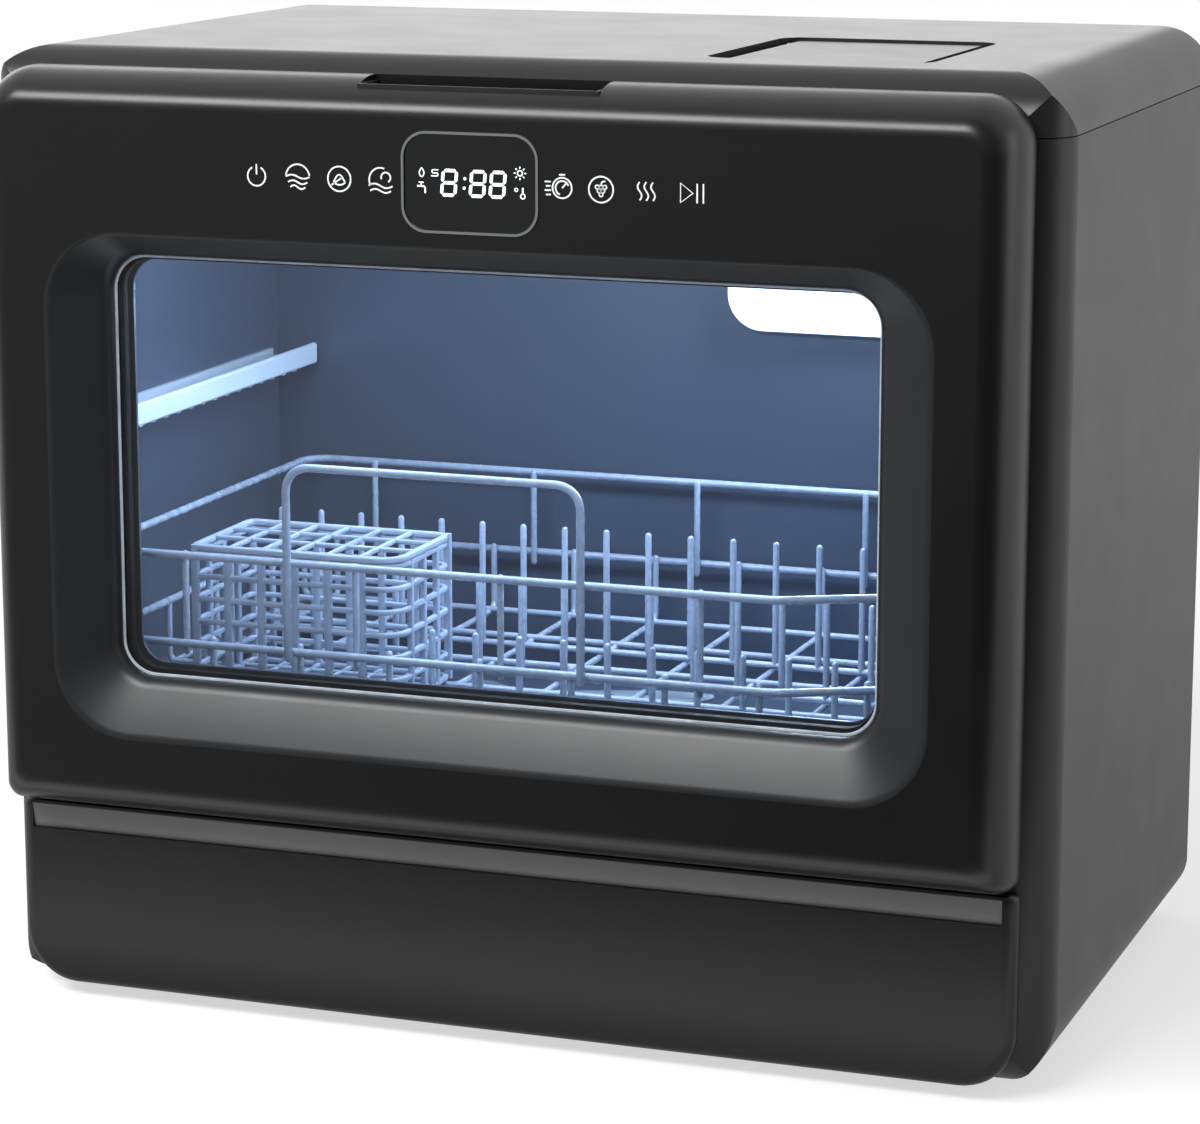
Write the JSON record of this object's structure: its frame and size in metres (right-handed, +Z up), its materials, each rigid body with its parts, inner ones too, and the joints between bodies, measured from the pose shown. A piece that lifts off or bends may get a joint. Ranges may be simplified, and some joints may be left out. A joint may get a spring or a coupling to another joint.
{
  "type": "countertop dishwasher",
  "caption": "Compact countertop dishwasher with a rounded casing, glazed drop-down door, slide-out wire dish basket, cutlery basket, spray arm and a lidded water tank.",
  "frame": {"origin": "middle of the footprint on the surface the feet stand on", "axes": "+X to the right of someone facing the door, -Y out of the door, +Z up"},
  "size_m": [0.44, 0.3, 0.39],
  "materials": {
    "casing_black": "satin black moulding",
    "rear_metal": "black coated steel sheet",
    "door_black": "satin black, slightly glossy",
    "dark_part": "matt black",
    "tub_grey": "dark blue-grey moulding",
    "inner_grey": "mid grey moulding",
    "pale_plastic": "pale translucent-looking grey",
    "white_plastic": "natural white moulding",
    "lamp_white": "frosted, lit from behind",
    "wire_grey": "light grey coated wire",
    "seal_rubber": "black",
    "foot_rubber": "black",
    "pane": "clear, slightly blue",
    "display_black": "polished black",
    "ring_chrome": "bright",
    "board_green": "circuit board",
    "steel": "plain steel",
    "filter_steel": "perforated steel",
    "heater_brass": "bright",
    "pump_dark": "dark grey moulding",
    "fan_grey": "grey moulding"
  },
  "bodies": {
    "casing": {"top_cover": "casing_black", "left_side_panel": "casing_black", "right_side_panel": "casing_black", "rear_panel": "rear_metal", "base_pan": "dark_part", "feet": "foot_rubber", "lower_front_panel": "casing_black", "front_frame": "dark_part", "tub": "tub_grey", "tub_seal": "seal_rubber", "basket_rails": "tub_grey", "shelf_rail": "inner_grey", "filter_plate": "filter_steel", "float_guide": "inner_grey", "sump": "pump_dark", "spray_hub": "inner_grey", "feed_pipe": "seal_rubber", "heater": "heater_brass", "wash_pump": "pump_dark", "drain_pump": "pump_dark", "port_recess": "dark_part", "inlet_valve": "white_plastic", "drain_spout": "dark_part", "water_tank": "pale_plastic", "fill_funnel": "inner_grey", "lid_pin": "steel", "fan_housing": "pump_dark", "lamp_cover": "lamp_white", "power_board": "board_green", "cable_gland": "seal_rubber", "latch_switch": "white_plastic", "hinge_brackets": "steel", "case_screws": "steel"},
    "door": {"door_frame": "door_black", "window_seal": "seal_rubber", "outer_glass": "pane", "glass_spacer": "seal_rubber", "inner_glass": "pane", "inner_liner": "inner_grey", "display_window": "display_black", "display_ring": "ring_chrome", "control_board": "board_green", "handle_cup": "dark_part", "detergent_cup": "inner_grey", "latch_tongue": "steel", "hinge_pins": "steel"},
    "dish_basket": {"basket_rims": "wire_grey", "basket_floor": "wire_grey", "plate_tines": "wire_grey", "basket_glides": "white_plastic"},
    "cutlery_basket": {"cutlery_basket": "pale_plastic"},
    "cup_shelf": {"cup_shelf": "pale_plastic"},
    "spray_arm": {"spray_arm": "pale_plastic"},
    "filter_basket": {"filter_basket": "inner_grey"},
    "float": {"float": "pale_plastic"},
    "fill_lid": {"fill_lid": "casing_black"},
    "drying_fan": {"drying_fan": "fan_grey"},
    "pump_impeller": {"pump_impeller": "white_plastic"},
    "latch_roller": {"latch_roller": "white_plastic"},
    "detergent_lid": {"detergent_lid": "pale_plastic"}
  },
  "joints": [
    {"name": "door_hinge", "type": "hinge", "parent": "casing", "child": "door", "pos_m": [0, -0.1339, 0.0925], "axis": [1, 0, 0], "range_deg": [0, 90]},
    {"name": "basket_slide", "type": "slide", "parent": "casing", "child": "dish_basket", "axis": [0, -1, 0], "range_m": [0, 0.0985]},
    {"name": "cutlery_lift", "type": "slide", "parent": "dish_basket", "child": "cutlery_basket", "axis": [0, 0, 1], "range_m": [0, 0.1]},
    {"name": "shelf_fold", "type": "hinge", "parent": "casing", "child": "cup_shelf", "pos_m": [-0.198, 0, 0.23], "axis": [0, -1, 0], "range_deg": [0, 70]},
    {"name": "spray_spin", "type": "hinge", "parent": "casing", "child": "spray_arm", "pos_m": [-0.062, 0.00255, 0.105], "axis": [0, 0, 1], "continuous": true},
    {"name": "filter_twist", "type": "hinge", "parent": "casing", "child": "filter_basket", "pos_m": [0.11, 0.01, 0.098], "axis": [0, 0, 1], "range_deg": [0, 90]},
    {"name": "float_rise", "type": "slide", "parent": "casing", "child": "float", "axis": [0, 0, 1], "range_m": [0, 0.008]},
    {"name": "lid_hinge", "type": "hinge", "parent": "casing", "child": "fill_lid", "pos_m": [0.112, 0.029, 0.3873], "axis": [-1, 0, 0], "range_deg": [0, 95]},
    {"name": "fan_spin", "type": "hinge", "parent": "casing", "child": "drying_fan", "pos_m": [-0.11, 0.07, 0.3705], "axis": [0, 0, 1], "continuous": true},
    {"name": "impeller_spin", "type": "hinge", "parent": "casing", "child": "pump_impeller", "pos_m": [0.037, 0.01, 0.042], "axis": [1, 0, 0], "continuous": true},
    {"name": "roller_spin", "type": "hinge", "parent": "casing", "child": "latch_roller", "pos_m": [0.082, -0.1129, 0.3658], "axis": [1, 0, 0], "continuous": true},
    {"name": "detergent_slide", "type": "slide", "parent": "door", "child": "detergent_lid", "axis": [1, 0, 0], "range_m": [0, 0.054]}
  ],
  "couplings": [
    {"joint": "basket_slide", "follows": "door_hinge", "m_per_rad": 0.062}
  ]
}
